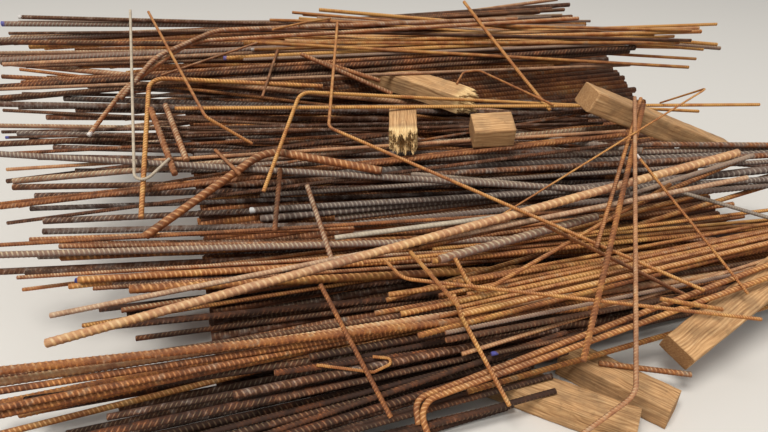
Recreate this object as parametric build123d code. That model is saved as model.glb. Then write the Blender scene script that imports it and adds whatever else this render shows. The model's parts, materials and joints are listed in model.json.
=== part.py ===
from build123d import *
import math
import os
import random

import numpy as np
from scipy.optimize import linprog

# A loose heap of reinforcing bars with its timber bearers.
# Millimetres. +X runs along the bars, +Y goes up the front slope to the crest, +Z is up.
# Every piece is laid in turn, from the ground up: it keeps the plan position that is given here,
# and it comes down until it rests on what already lies there.

# Nominal bar diameters
D6 = 6.0
D8 = 8.0
D10 = 10.0
D12 = 12.0
D16 = 16.0
D20 = 20.0
D25 = 25.0

# Lengths that bars are sold in
STOCK_LONG = 3000.0
STOCK_MIDDLE = 2400.0
STOCK_SHORT = 2000.0
OFFCUT = 1500.0

# Bends are made round a former, as a number of bar diameters to the centre line
BEND_DIAMETERS = 3.0

# Daylight left between two pieces that rest on each other
REST_GAP = 0.3

# Timber bearers, laid flat
BEARER_WIDTH = 90.0
BEARER_DEPTH = 70.0
BEARER_CHAMFER = 1.0

# The hidden middle of the heap, a plain block under the bars that show
CORE_LEFT = -620.0
CORE_RIGHT = 1250.0
CORE_TOE = -560.0
CORE_TOE_HEIGHT = 30.0
CORE_CREST = 800.0
CORE_BACK_CREST = 930.0
CORE_HEEL = 1400.0
CORE_HEIGHT = 640.0

# Bars are drawn with a few flat sides, whose corners lie on the nominal round
BAR_SIDES = 10

# Steps between the points at which a piece is tried against what lies under it
COARSE_STEP = 14.0
FINE_STEP = 4.0
ARC_STEP = math.radians(7.5)
STEEPEST = 0.7
STEEPEST_BEARER = 0.42
SETTLE_STEPS = (COARSE_STEP, COARSE_STEP, COARSE_STEP, FINE_STEP)
SLOPE_HALVINGS = 24
NEST_TRIES = (-0.8, -0.4, 0.0, 0.4, 0.8)
SLOPE = (CORE_HEIGHT - CORE_TOE_HEIGHT) / (CORE_CREST - CORE_TOE)

# Runs of like bars, from the ground up. Each run is spread evenly between its first and its last
# bar: left end (x, y), heading in degrees, and how ragged the left ends and the headings are.
RUNS = [
    dict(node="bars_toe", count=10, sizes=(D20, D16, D16), length=OFFCUT,
         first=(-1340, -800), last=(-1380, -600), heading=(1.0, -1.0), ragged=90, stray=2.0),
    dict(node="bars_front_base", count=17, sizes=(D20, D16, D20), length=STOCK_LONG,
         first=(-900, -680), last=(-960, -150), heading=(0, -7), ragged=150, stray=2.0),
    dict(node="bars_upper_base", count=17, sizes=(D20, D20, D16), length=STOCK_SHORT,
         first=(-1060, -90), last=(-1000, 600), heading=(-8, -11), ragged=160, stray=2.5),
    dict(node="bars_crest_base", count=10, sizes=(D20, D16), length=STOCK_SHORT,
         first=(-1050, 680), last=(-1050, 930), heading=(-6, -3), ragged=120, stray=2.0),
    dict(node="bars_back_slope", count=17, sizes=(D20, D16, D25), length=STOCK_SHORT,
         first=(-900, 1445), last=(-950, 985), heading=(0, -2), ragged=120, stray=1.5),
    dict(node="bars_back_foot", count=4, sizes=(D20, D16), length=STOCK_SHORT,
         first=(-880, 1500), last=(-900, 1450), heading=(1.5, -1.5), ragged=90, stray=2.0),
    dict(node="bars_low_left", count=9, sizes=(D16, D16, D20), length=850,
         first=(-640, -745), last=(-420, -615), heading=(1, -1), ragged=70, stray=1.2),
    dict(node="bars_left_fan", count=9, sizes=(D20, D16, D16, D20), length=STOCK_LONG,
         first=(-1150, -625), last=(-1120, -478), heading=(1, -3), ragged=60, stray=1.6),
    dict(node="bars_left_middle", count=14, sizes=(D12, D16, D25, D12, D16, D20), length=STOCK_SHORT,
         first=(-820, -300), last=(-1180, -10), heading=(-3, -12), ragged=110, stray=2.0),
    dict(node="bars_right_fan_low", count=12, sizes=(D16, D12, D16), length=STOCK_SHORT,
         first=(-60, -720), last=(-120, -420), heading=(1, -1), ragged=110, stray=2.4),
    dict(node="bars_right_fan_high", count=11, sizes=(D12, D12, D16, D12), length=STOCK_SHORT,
         first=(60, -690), last=(20, -390), heading=(2, -2), ragged=130, stray=2.0),
    dict(node="bars_middle_band", count=12, sizes=(D20, D16, D20, D25), length=STOCK_SHORT,
         first=(-200, -190), last=(-520, 300), heading=(-10, -17), ragged=160, stray=2.2),
    dict(node="bars_upper_left", count=19, sizes=(D12, D16, D12, D20, D10), length=STOCK_SHORT,
         first=(-1210, 100), last=(-1200, 720), heading=(-9, -14), ragged=90, stray=3.5),
    dict(node="bars_crest", count=22, sizes=(D16, D12, D16, D20), length=STOCK_MIDDLE,
         first=(-1230, 560), last=(-1280, 1000), heading=(-8, 0), ragged=130, stray=4.5),
    dict(node="bars_top_right", count=18, sizes=(D12, D16, D12, D12), length=1650,
         first=(-380, 500), last=(-60, 900), heading=(-12, -24), ragged=110, stray=3.0),
]

# Bearers and broken timbers: middle (x, y), heading, length, and a broken end where it has one.
# Each is laid after the run of bars that is named.
TIMBERS = [
    dict(node="bearer_front_left", after="ground", middle=(230, -780), heading=-45, length=400),
    dict(node="bearer_front_short", after="ground", middle=(420, -770), heading=-57, length=300),
    dict(node="bearer_broken_end", after="bars_upper_left", middle=(62, -10), heading=-108,
         length=190, broken=True),
    dict(node="bearer_upper_left", after="bars_upper_left", middle=(195, 335), heading=-51,
         length=580, broken=True),
    dict(node="bearer_block", after="bars_upper_left", middle=(335, -90), heading=-14, length=130),
    dict(node="bearer_upper_right", after="bars_upper_left", middle=(930, -150), heading=-3,
         length=680),
    dict(node="bearer_front_right", after="bars_right_fan_high", middle=(775, -740), heading=16,
         length=440),
]

# Single straight bars: size, left or upper end (x, y), heading and length of each, in the order in
# which they lie. Each group is laid after the run or the bends that are named.
SINGLES = [
    dict(node="bars_single_low", after="bars_left_fan", bars=[
        (D16, (385, -732), -27.5, 235),
    ]),
    dict(node="bars_single_low", after="bars_middle_band", bars=[
        (D25, (8, -484), 7.5, 540),
        (D16, (-224, -227), -8, 560),
        (D16, (70, -71), -25.5, 760),
        (D20, (364, 171), -52, 620),
        (D16, (575, -437), 8.5, 560),
        (D12, (805, -413), -27, 420),
        (D16, (648, -382), 0, 480),
        (D12, (-20, -405), -1, 760),
    ]),
    dict(node="bars_single_low", after="bars_top_right", bars=[
        (D20, (-1216, 330), -22, STOCK_SHORT),
    ]),
    dict(node="bars_single_long", after="bent_low", bars=[
        (D16, (-999, -305), -5.5, STOCK_SHORT),
        (D25, (-1010, -378), -2, STOCK_SHORT),
    ]),
    dict(node="bars_single_upper", after="bars_single_long", bars=[
        (D20, (-672, 400), -79.5, 300),
        (D20, (-715, 325), -78, 300),
        (D16, (-193, 433), -29.5, 360),
        (D16, (-121, 422), -35.5, 240),
        (D12, (-527, 147), -74.5, 220),
        (D16, (-275, -65), -84.5, 275),
        (D16, (-339, -17), -107, 210),
        (D10, (-250, 519), -115, 240),
        (D8, (-675, 461), 9.5, 360),
        (D12, (-628, 163), -9.5, STOCK_SHORT),
    ]),
    dict(node="bars_single_top", after="bent_top", bars=[
        (D12, (-57, -433), -85, 280),
        (D12, (-333, -478), -70.5, 360),
        (D12, (317, -462), -34, 430),
        (D12, (533, -729), -25.5, 160),
        (D12, (833, -160), -134, 640),
        (D16, (824, -186), -132, 930),
        (D8, (655, -352), -75.5, 480),
    ]),
]

# Single bent bars, in the order in which they lie. A bar starts at (x, y) on its heading, and goes
# through its legs: the length to the next corner, and the turn there in degrees, left positive.
# A bend with a radius of its own gives it, and the rest are bent round the usual former.
BENDS = {
    "bent_low": [
        dict(node="bent_bar_thick_hook", size=D25, start=(-763, -149), heading=26.5,
             legs=((440, -57), (370, 0)), radius=110),
        dict(node="bent_bar_left_corner", size=D16, start=(-763, -115), heading=85,
             legs=((600, -98), (600, 0))),
        dict(node="bent_bar_outer_arc", size=D16, start=(-927, 242), heading=52.5,
             legs=((210, -18), (290, -41), (1500, 0)), radius=200),
        dict(node="bent_bar_inner_arc", size=D16, start=(-811, 337), heading=51,
             legs=((200, -30), (240, -28), (1150, 0)), radius=160),
        dict(node="bent_bar_nested_inner", size=D16, start=(-164, -816), heading=80,
             legs=((60, -77), (1500, 0)), radius=40),
        dict(node="bent_bar_nested_outer", size=D16, start=(-154, -888), heading=90.5,
             legs=((95, -88), (1850, 0)), radius=60),
        dict(node="bent_bar_short_hook", size=D12, start=(46, -495), heading=-79,
             legs=((115, 96), (760, 0)), radius=44),
        dict(node="bent_bar_long_hook", size=D10, start=(-135, -450), heading=-81,
             legs=((100, 60), (900, 0)), radius=44),
        dict(node="bent_bar_small_hook", size=D12, start=(-29, -578), heading=-76,
             legs=((60, 14), (240, 0)), radius=40),
        dict(node="link_open", size=D8, start=(-366, -635), heading=-19,
             legs=((140, 32), (75, 150), (70, 0)), radius=9),
    ],
    "bent_top": [
        dict(node="bent_bar_curved_top", size=D12, start=(451, 555), heading=-75.5,
             legs=((200, 3), (220, 3), (200, 0)), radius=700),
        dict(node="bent_bar_thin_top", size=D8, start=(-14, 714), heading=-128.5,
             legs=((200, -4), (200, 0)), radius=300),
        dict(node="bent_bar_long_corner", size=D12, start=(-411, -181), heading=63,
             legs=((380, -74), (1420, 0)), radius=46),
        dict(node="bent_bar_small_crook", size=D8, start=(332, 196), heading=52,
             legs=((90, -60), (60, -60), (340, 0)), radius=28),
        dict(node="bent_bar_white_hook", size=D10, start=(-736, 801), heading=-93.5,
             legs=((830, 132), (145, 0))),
        dict(node="bent_bar_thin_hook", size=D10, start=(-737, 809), heading=-73.5,
             legs=((760, 61), (160, 0))),
        dict(node="bent_bar_tall_corner", size=D10, start=(-33, 552), heading=-105,
             legs=((620, 64), (1130, 0))),
    ],
    "bent_last": [
        dict(node="bent_bar_right_hook", size=D12, start=(848, -190), heading=-127.5,
             legs=((960, -50), (200, 0)), radius=60),
        dict(node="bent_bar_thin_vee", size=D6, start=(184, -288), heading=-5.5,
             legs=((770, 90), (270, 0)), radius=24),
    ],
}

RANDOM_SEED = 7


# Everything that lies already: bar stretches as round-ended cylinders, and blocks as sloping tops.
class Heap:
    def __init__(self):
        self.starts = np.zeros((0, 3))
        self.ends = np.zeros((0, 3))
        self.radii = np.zeros(0)
        self.blocks = []

    def add_path(self, points, radius):
        self.starts = np.vstack([self.starts, points[:-1]])
        self.ends = np.vstack([self.ends, points[1:]])
        self.radii = np.append(self.radii, np.full(len(points) - 1, radius))

    # outline: convex plan polygon, anticlockwise. tops: planes (height at the origin, slope x, slope y).
    def add_block(self, outline, tops):
        self.blocks.append((np.array(outline, float), tops))

    # How high the centre of a ball of this radius has to be, over each plan point, to clear everything.
    def clear_height(self, plan, radius):
        height = np.full(len(plan), float(radius))
        if len(self.radii):
            height = np.maximum(height, self._over_bars(plan, radius + REST_GAP))
        for outline, tops in self.blocks:
            height = np.maximum(height, over_block(plan, outline, tops, radius + REST_GAP))
        return height

    def _over_bars(self, plan, reach):
        low = plan.min(axis=0) - reach - self.radii.max()
        high = plan.max(axis=0) + reach + self.radii.max()
        near = np.all(np.minimum(self.starts, self.ends)[:, :2] <= high, axis=1)
        near &= np.all(np.maximum(self.starts, self.ends)[:, :2] >= low, axis=1)
        if not near.any():
            return np.zeros(len(plan))
        start, end, total = self.starts[near], self.ends[near], self.radii[near] + reach
        along = end - start
        length = np.linalg.norm(along, axis=1)
        unit = along / length[:, None]
        # Height z above the start where the distance to the centre line equals total:
        # z^2 (1 - uz^2) - 2 z uz (p.u) + p^2 - (p.u)^2 - total^2 = 0
        offset = plan[:, None, :] - start[None, :, :2]
        shadow = offset[..., 0] * unit[:, 0] + offset[..., 1] * unit[:, 1]
        square = (offset ** 2).sum(axis=2)
        flat = 1.0 - unit[:, 2] ** 2
        root = (unit[:, 2] * shadow) ** 2 - flat * (square - shadow ** 2 - total ** 2)
        rise = (unit[:, 2] * shadow + np.sqrt(np.maximum(root, 0))) / np.maximum(flat, 1e-9)
        reached = shadow + rise * unit[:, 2]
        on_side = (root > 0) & (reached >= 0) & (reached <= length)
        best = np.where(on_side, rise + start[:, 2], 0.0)
        for end_point in (start, end):
            gap = ((plan[:, None, :] - end_point[None, :, :2]) ** 2).sum(axis=2)
            cap = end_point[:, 2] + np.sqrt(np.maximum(total ** 2 - gap, 0))
            best = np.maximum(best, np.where(gap < total ** 2, cap, 0.0))
        return best.max(axis=1)


# A ball over a block rests on its sloping tops, within the outline grown by the ball's radius.
def over_block(plan, outline, tops, reach):
    inside = np.ones(len(plan), bool)
    for corner, following in zip(outline, np.roll(outline, -1, axis=0)):
        edge = (following - corner) / np.linalg.norm(following - corner)
        outward = np.array([edge[1], -edge[0]])
        inside &= (plan - corner) @ outward <= reach
    heights = [
        level + plan @ np.array([slope_x, slope_y]) + reach * math.hypot(1, slope_x, slope_y)
        for level, slope_x, slope_y in tops
    ]
    return np.where(inside, np.minimum.reduce(heights), 0.0)


# The slope of the straight line over the given heights that is lowest at the middle. It is halved in
# on: where the line touches to the right of the middle it has to be steeper, and else less steep.
def lowest_slope(along, height):
    least, most = -STEEPEST, STEEPEST
    for _ in range(SLOPE_HALVINGS):
        slope = (least + most) / 2
        if along[np.argmax(height - slope * along)] > 0:
            least = slope
        else:
            most = slope
    return slope


# The lowest plane over the given heights, measured at the middle: its height there and its two slopes.
def lowest_plane(plan, height, steepest):
    rows = -np.column_stack([np.ones(len(plan)), plan])
    limits = [(None, None), (-steepest, steepest), (-steepest, steepest)]
    found = linprog([1, 0, 0], A_ub=rows, b_ub=-height, bounds=limits)
    return found.x


# A flat shape on a sloping plane: its plan shrinks along the slope, as a tipped drawing's does.
def tip(flat, slopes):
    steep = math.hypot(*slopes)
    if steep < 1e-9:
        return flat
    downhill = np.array(slopes) / steep
    shrink = 1 - 1 / math.sqrt(1 + steep ** 2)
    return flat - shrink * np.outer(flat @ downhill, downhill)


def turned(points, degrees):
    angle = math.radians(degrees)
    cos, sin = math.cos(angle), math.sin(angle)
    return np.column_stack([points[:, 0] * cos - points[:, 1] * sin,
                            points[:, 0] * sin + points[:, 1] * cos])


def spread(points, step):
    pieces = [points[:1]]
    for start, end in zip(points, points[1:]):
        count = max(1, math.ceil(np.linalg.norm(end - start) / step))
        share = np.arange(1, count + 1)[:, None] / count
        pieces.append(start + (end - start) * share)
    return np.vstack(pieces)


# A straight bar that is let down. It returns its two ends.
def lay_straight(heap, radius, middle, heading, length):
    unit = np.array([math.cos(math.radians(heading)), math.sin(math.radians(heading))])
    middle = np.array(middle, float)
    slope = 0.0
    for step in SETTLE_STEPS:
        half = length / 2 / math.hypot(1, slope)
        along = spread(np.array([[-half], [half]]), step)[:, 0]
        needed = heap.clear_height(middle + along[:, None] * unit, radius)
        slope = lowest_slope(along, needed)
    height = (needed - slope * along).max()
    half = length / 2 / math.hypot(1, slope)
    ends = np.array([-half, half])
    return np.column_stack([middle + ends[:, None] * unit, height + slope * ends])


# A flat bent bar that is let down. It returns its corners, and the points of its rounded line.
def lay_bent(heap, radius, corners, line):
    middle = spread(line, COARSE_STEP).mean(axis=0)
    slopes = (0.0, 0.0)
    for step in SETTLE_STEPS:
        plan = tip(spread(line, step) - middle, slopes)
        level, *slopes = lowest_plane(plan, heap.clear_height(plan + middle, radius), STEEPEST)
    plan = tip(spread(line, FINE_STEP) - middle, slopes)
    needed = heap.clear_height(plan + middle, radius)
    level = (needed - plan @ np.array(slopes)).max()

    def placed(flat):
        plan = tip(flat - middle, slopes)
        return np.column_stack([plan + middle, level + plan @ np.array(slopes)])

    return placed(corners), placed(line)


# The corners of a bent bar's centre line, from its legs and turns.
def leg_corners(start, heading, legs):
    points = [np.array(start, float)]
    for length, turn in legs:
        angle = math.radians(heading)
        points.append(points[-1] + length * np.array([math.cos(angle), math.sin(angle)]))
        heading += turn
    return np.array(points)


# Each corner's bend radius, kept inside the two legs that it joins.
def bend_radii(corners, legs, radius):
    radii = []
    for index, (_, turn) in enumerate(legs[:-1]):
        legs_beside = [np.linalg.norm(corners[index + k + 1] - corners[index + k]) for k in (0, 1)]
        room = 0.48 * min(legs_beside) / math.tan(math.radians(abs(turn)) / 2)
        radii.append(min(radius, room))
    return radii


# The centre line with its bends drawn as short chords.
def rounded_line(corners, legs, radii):
    points = [corners[0]]
    for index, radius in enumerate(radii):
        before, corner, after = corners[index:index + 3]
        turn = math.radians(legs[index][1])
        inward = (corner - before) / np.linalg.norm(corner - before)
        tangent = radius * math.tan(abs(turn) / 2)
        side = math.copysign(1.0, turn) * np.array([-inward[1], inward[0]])
        centre = corner - inward * tangent + side * radius
        count = max(2, math.ceil(abs(turn) / ARC_STEP))
        spoke = -side * radius
        for step in range(count + 1):
            points.append(centre + turned(spoke[None, :], math.degrees(turn) * step / count)[0])
    points.append(corners[-1])
    return np.array(points)


# Positive where the way from a over b to c turns left.
def turn_at(a, b, c):
    return (b[0] - a[0]) * (c[1] - b[1]) - (b[1] - a[1]) * (c[0] - b[0])


# The anticlockwise outline round a few plan points.
def convex_outline(points):
    ordered = sorted(map(tuple, points))
    sides = []
    for row in (ordered, ordered[::-1]):
        side = []
        for point in row:
            while len(side) > 1 and turn_at(side[-2], side[-1], point) <= 0:
                side.pop()
            side.append(point)
        sides += side[:-1]
    return np.array(sides)


# A bearer that is let down: its flat underside rests on what lies there. It returns the frame of
# its underside: the middle, the direction along it, and the direction up.
def lay_bearer(heap, middle, heading, length):
    middle = np.array(middle, float)
    corners = np.array([[-length, -BEARER_WIDTH], [length, -BEARER_WIDTH],
                        [length, BEARER_WIDTH], [-length, BEARER_WIDTH]]) / 2
    columns = np.linspace(-length, length, math.ceil(length / FINE_STEP)) / 2
    rows = np.linspace(-BEARER_WIDTH, BEARER_WIDTH, math.ceil(BEARER_WIDTH / FINE_STEP)) / 2
    under = turned(np.array([(x, y) for x in columns for y in rows]), heading)
    slopes = (0.0, 0.0)
    for _ in SETTLE_STEPS:
        plan = tip(under, slopes)
        needed = heap.clear_height(plan + middle, 0.0)
        level, *slopes = lowest_plane(plan, needed, STEEPEST_BEARER)
    plan = tip(under, slopes)
    level = (heap.clear_height(plan + middle, 0.0) - plan @ np.array(slopes)).max()
    underside = tip(turned(corners, heading), slopes) + middle
    rise = BEARER_DEPTH * math.hypot(1, *slopes)
    overhang = -BEARER_DEPTH * np.array(slopes) / math.hypot(1, *slopes)
    outline = convex_outline(np.vstack([underside, underside + overhang]))
    base = level - np.array(slopes) @ middle
    heap.add_block(outline, [(base + rise, slopes[0], slopes[1])])
    along = tip(turned(np.array([[1.0, 0.0]]), heading), slopes)[0]
    forward = (along[0], along[1], along @ np.array(slopes))
    return (middle[0], middle[1], level), forward, (-slopes[0], -slopes[1], 1)


# Half the width over which each splinter of a broken end stands, and how far it stands out.
SPLINTERS = ((-0.5, 0.0), (-0.34, 0.2), (-0.2, 0.75), (-0.06, 0.35), (0.08, 1.0), (0.22, 0.3),
             (0.36, 0.55), (0.5, 0.1))
SPLINTER_LENGTH = 60.0


def bearer_solid(frame, length, broken):
    middle, forward, up = frame
    left, side = -length / 2, BEARER_WIDTH / 2
    outline = [(left, side), (left, -side)]
    if broken:
        root = length / 2 - SPLINTER_LENGTH
        outline += [(root + out * SPLINTER_LENGTH, across * BEARER_WIDTH) for across, out in SPLINTERS]
    else:
        outline += [(length / 2, -side), (length / 2, side)]
    body = extrude(make_face(Polyline(*outline, close=True)), BEARER_DEPTH)
    long_edges = body.edges().filter_by(Axis.X)
    body = chamfer(long_edges, BEARER_CHAMFER)
    return Plane(origin=middle, x_dir=forward, z_dir=up) * body


def straight_solid(ends, radius):
    start, end = Vector(*ends[0]), Vector(*ends[1])
    section = Plane(origin=start, z_dir=end - start) * RegularPolygon(radius, BAR_SIDES)
    return extrude(section, (end - start).length)


def bent_solid(corners, radii, radius):
    path = FilletPolyline(*[tuple(point) for point in corners], radius=radii)
    section = Plane(origin=path @ 0, z_dir=path % 0) * RegularPolygon(radius, BAR_SIDES)
    return sweep(section, path=path)


# The hidden middle: one block with a front slope, a crest and a back slope.
def add_core(heap):
    profile = [(CORE_TOE, 0), (CORE_TOE, CORE_TOE_HEIGHT), (CORE_CREST, CORE_HEIGHT),
               (CORE_BACK_CREST, CORE_HEIGHT), (CORE_HEEL, 0)]
    back_slope = -CORE_HEIGHT / (CORE_HEEL - CORE_BACK_CREST)
    heap.add_block(
        [(CORE_LEFT, CORE_TOE), (CORE_RIGHT, CORE_TOE), (CORE_RIGHT, CORE_HEEL), (CORE_LEFT, CORE_HEEL)],
        [(CORE_TOE_HEIGHT - SLOPE * CORE_TOE, 0, SLOPE), (CORE_HEIGHT, 0, 0),
         (-back_slope * CORE_HEEL, 0, back_slope)],
    )
    face = make_face(Plane.YZ.offset(CORE_LEFT) * Polyline(*profile, close=True))
    return extrude(face, CORE_RIGHT - CORE_LEFT, dir=(1, 0, 0))


# Lays every piece, and gathers the solids under their node names.
class Layout:
    def __init__(self):
        self.heap = Heap()
        self.solids = {"hidden_core": [add_core(self.heap)]}
        self.paths = []

    def keep(self, node, solid, points, radius):
        self.solids.setdefault(node, []).append(solid)
        self.heap.add_path(points, radius)
        self.paths.append((node, radius, points))

    def straight(self, node, size, start, heading, length):
        unit = turned(np.array([[1.0, 0.0]]), heading)[0]
        middle = np.array(start, float) + unit * length / 2
        ends = lay_straight(self.heap, size / 2, middle, heading, length)
        self.keep(node, straight_solid(ends, size / 2), ends, size / 2)

    # A bar of a run slips sideways into the lowest groove within its reach.
    def nested(self, node, size, start, heading, length):
        along, across = turned(np.array([[1.0, 0.0], [0.0, 1.0]]), heading)
        middle = np.array(start, float) + along * length / 2
        places = []
        for shift in NEST_TRIES:
            place = middle + across * shift * size
            ends = lay_straight(self.heap, size / 2, place, heading, length)
            places.append((ends[:, 2].mean() - SLOPE * place[1], shift, ends))
        ends = min(places, key=lambda place: place[:2])[2]
        self.keep(node, straight_solid(ends, size / 2), ends, size / 2)

    def run(self, node, count, sizes, length, first, last, heading, ragged, stray):
        first, last = np.array(first, float), np.array(last, float)
        chance = random.Random(f"{RANDOM_SEED} {node}")
        for index in range(count):
            share = index / (count - 1)
            start = first + (last - first) * share
            start[0] += chance.uniform(-ragged, ragged)
            angle = heading[0] + (heading[1] - heading[0]) * share
            angle += chance.uniform(-stray, stray)
            self.nested(node, sizes[index % len(sizes)], start, angle, length)

    def bent(self, node, size, start, heading, legs, radius=None):
        corners = leg_corners(start, heading, legs)
        radii = bend_radii(corners, legs, radius or BEND_DIAMETERS * size)
        line = rounded_line(corners, legs, radii)
        corners, line = lay_bent(self.heap, size / 2, corners, line)
        self.keep(node, bent_solid(corners, radii, size / 2), line, size / 2)

    def bearer(self, node, middle, heading, length, broken=False):
        frame = lay_bearer(self.heap, middle, heading, length)
        self.solids[node] = [bearer_solid(frame, length, broken)]

    def everything(self):
        self.timbers("ground")
        for run in RUNS:
            self.run(**run)
            self.timbers(run["node"])
            self.singles(run["node"])
        for layer, rows in BENDS.items():
            for row in rows:
                self.bent(**row)
            self.singles(layer)
        return self.solids

    def timbers(self, after):
        for timber in TIMBERS:
            if timber["after"] == after:
                self.bearer(**{key: timber[key] for key in timber if key != "after"})

    def singles(self, after):
        for group in SINGLES:
            if group["after"] == after:
                for size, start, heading, length in group["bars"]:
                    self.straight(group["node"], size, start, heading, length)
                self.singles(group["node"])


def main():
    os.makedirs("parts", exist_ok=True)
    solids = Layout().everything()
    shapes = {node: Compound(obj=pieces) for node, pieces in solids.items()}
    boxes = [shape.bounding_box() for shape in shapes.values()]
    low = [min(getattr(box.min, axis) for box in boxes) for axis in "XYZ"]
    high = [max(getattr(box.max, axis) for box in boxes) for axis in "XYZ"]
    shift = Pos(-(low[0] + high[0]) / 2, -(low[1] + high[1]) / 2, -low[2])
    for node, shape in shapes.items():
        export_step(shift * shape, f"parts/{node}.step")
    print("nodes", len(shapes), "size", [round(b - a) for a, b in zip(low, high)])
    print("shift", shift.position)


if __name__ == "__main__":
    main()
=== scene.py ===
# A loose heap of ribbed reinforcing bars with timber battens, dressed over its CAD frame
import json
import math

import bpy
import numpy as np
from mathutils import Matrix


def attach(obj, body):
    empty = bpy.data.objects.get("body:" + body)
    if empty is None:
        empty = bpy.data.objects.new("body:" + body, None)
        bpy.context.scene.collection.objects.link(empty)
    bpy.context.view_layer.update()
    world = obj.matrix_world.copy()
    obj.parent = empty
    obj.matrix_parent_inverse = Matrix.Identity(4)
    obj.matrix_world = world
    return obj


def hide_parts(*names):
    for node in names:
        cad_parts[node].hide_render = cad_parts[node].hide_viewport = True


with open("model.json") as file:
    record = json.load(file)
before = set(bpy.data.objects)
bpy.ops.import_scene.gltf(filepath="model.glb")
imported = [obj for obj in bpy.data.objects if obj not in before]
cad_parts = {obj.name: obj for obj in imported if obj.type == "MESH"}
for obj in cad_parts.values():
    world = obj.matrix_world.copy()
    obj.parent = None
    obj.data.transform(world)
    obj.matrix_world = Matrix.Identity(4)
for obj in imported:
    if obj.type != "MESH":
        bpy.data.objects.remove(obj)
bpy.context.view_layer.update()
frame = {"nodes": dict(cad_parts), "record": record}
rng = np.random.default_rng(11)
tiny = 1e-12  # keeps a division from dividing by nothing
print("frame loaded:", len(frame["nodes"]), "nodes")

# Camera: stands in front of the heap's left half, turned to the right and looking down
cameraSettings = dict(
    place=(-0.9126, -2.0082, 1.210),
    turned=17.0,  # degrees from +Y towards +X
    down=30.0,  # degrees below level
    lens=27.2,  # mm on a 36 mm sensor
)


def makeCamera(settings):
    data = bpy.data.cameras.new("camera")
    data.lens = settings["lens"]
    data.clip_start = 0.05
    camera = bpy.data.objects.new("camera", data)
    camera.location = settings["place"]
    camera.rotation_euler = (
        math.radians(90 - settings["down"]), 0, math.radians(-settings["turned"]))
    bpy.context.scene.collection.objects.link(camera)
    bpy.context.scene.camera = camera


makeCamera(cameraSettings)


# A material with its output and Principled shader, and short ways to add nodes to it
class Finish:
    def __init__(self, name, metallic=0.0, roughness=0.8, specular=0.5):
        self.material = bpy.data.materials.new(name)
        self.material.use_nodes = True
        self.tree = self.material.node_tree
        self.shader = self.tree.nodes["Principled BSDF"]
        self.shader.inputs["Metallic"].default_value = metallic
        self.shader.inputs["Roughness"].default_value = roughness
        self.shader.inputs["Specular IOR Level"].default_value = specular

    def node(self, kind, values=None, **settings):
        made = self.tree.nodes.new(kind)
        for name, value in settings.items():
            setattr(made, name, value)
        for name, value in (values or {}).items():
            self.put(value, made.inputs[name])
        return made

    def put(self, value, socket):
        if isinstance(value, bpy.types.NodeSocket):
            self.tree.links.new(value, socket)
        else:
            socket.default_value = value

    def math(self, operation, first, second=0.5, third=0.0):
        made = self.node("ShaderNodeMath", operation=operation)
        for socket, value in zip(made.inputs, (first, second, third)):
            self.put(value, socket)
        return made.outputs[0]

    def ranged(self, value, low, high, newLow=0.0, newHigh=1.0):
        made = self.node("ShaderNodeMapRange", {
            "Value": value, "From Min": low, "From Max": high,
            "To Min": newLow, "To Max": newHigh})
        return made.outputs["Result"]

    def noise(self, scale, detail=3.0, roughness=0.6, vector=None):
        made = self.node("ShaderNodeTexNoise", {
            "Scale": scale, "Detail": detail, "Roughness": roughness,
            "Vector": vector or self.node("ShaderNodeTexCoord").outputs["Object"]})
        return made.outputs["Fac"]

    def attribute(self, name, output="Fac"):
        return self.node("ShaderNodeAttribute", attribute_name=name).outputs[output]

    def scaled(self, vector, shares):
        made = self.node("ShaderNodeVectorMath", operation="MULTIPLY")
        self.tree.links.new(vector, made.inputs[0])
        made.inputs[1].default_value = shares
        return made.outputs[0]

    def split(self, vector):
        made = self.node("ShaderNodeSeparateXYZ", {"Vector": vector})
        return made.outputs["X"], made.outputs["Y"], made.outputs["Z"]

    def facingUp(self):
        return self.split(self.node("ShaderNodeNewGeometry").outputs["Normal"])[2]

    def mix(self, share, first, second, blend="MIX"):
        made = self.node("ShaderNodeMix", data_type="RGBA", blend_type=blend)
        self.put(share, made.inputs[0])
        self.put(first, made.inputs[6])
        self.put(second, made.inputs[7])
        return made.outputs[2]

    def times(self, first, *others):
        for other in others:
            first = self.math("MULTIPLY", first, other)
        return first

    def ramp(self, share, stops):
        made = self.node("ShaderNodeValToRGB", {"Fac": share})
        points = made.color_ramp.elements
        points[0].position, points[0].color = stops[0]
        points[1].position, points[1].color = stops[-1]
        for position, shade in stops[1:-1]:
            points.new(position).color = shade
        return made.outputs["Color"]

    def bump(self, height, distance, strength=1.0, onTopOf=None):
        made = self.node("ShaderNodeBump", {
            "Height": height, "Distance": distance, "Strength": strength})
        if onTopOf is not None:
            self.tree.links.new(onTopOf, made.inputs["Normal"])
        return made.outputs["Normal"]

    def finish(self, shade, roughness=None, normal=None):
        self.put(shade, self.shader.inputs["Base Color"])
        if roughness is not None:
            self.put(roughness, self.shader.inputs["Roughness"])
        if normal is not None:
            self.put(normal, self.shader.inputs["Normal"])
        return self.material


# A colour written as it looks on screen, 0 to 255
def colour(red, green, blue):
    shown = np.array([red, green, blue]) / 255
    linear = np.where(shown < 0.04045, shown / 12.92, ((shown + 0.055) / 1.055) ** 2.4)
    return (*[float(c) for c in linear], 1.0)


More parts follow.
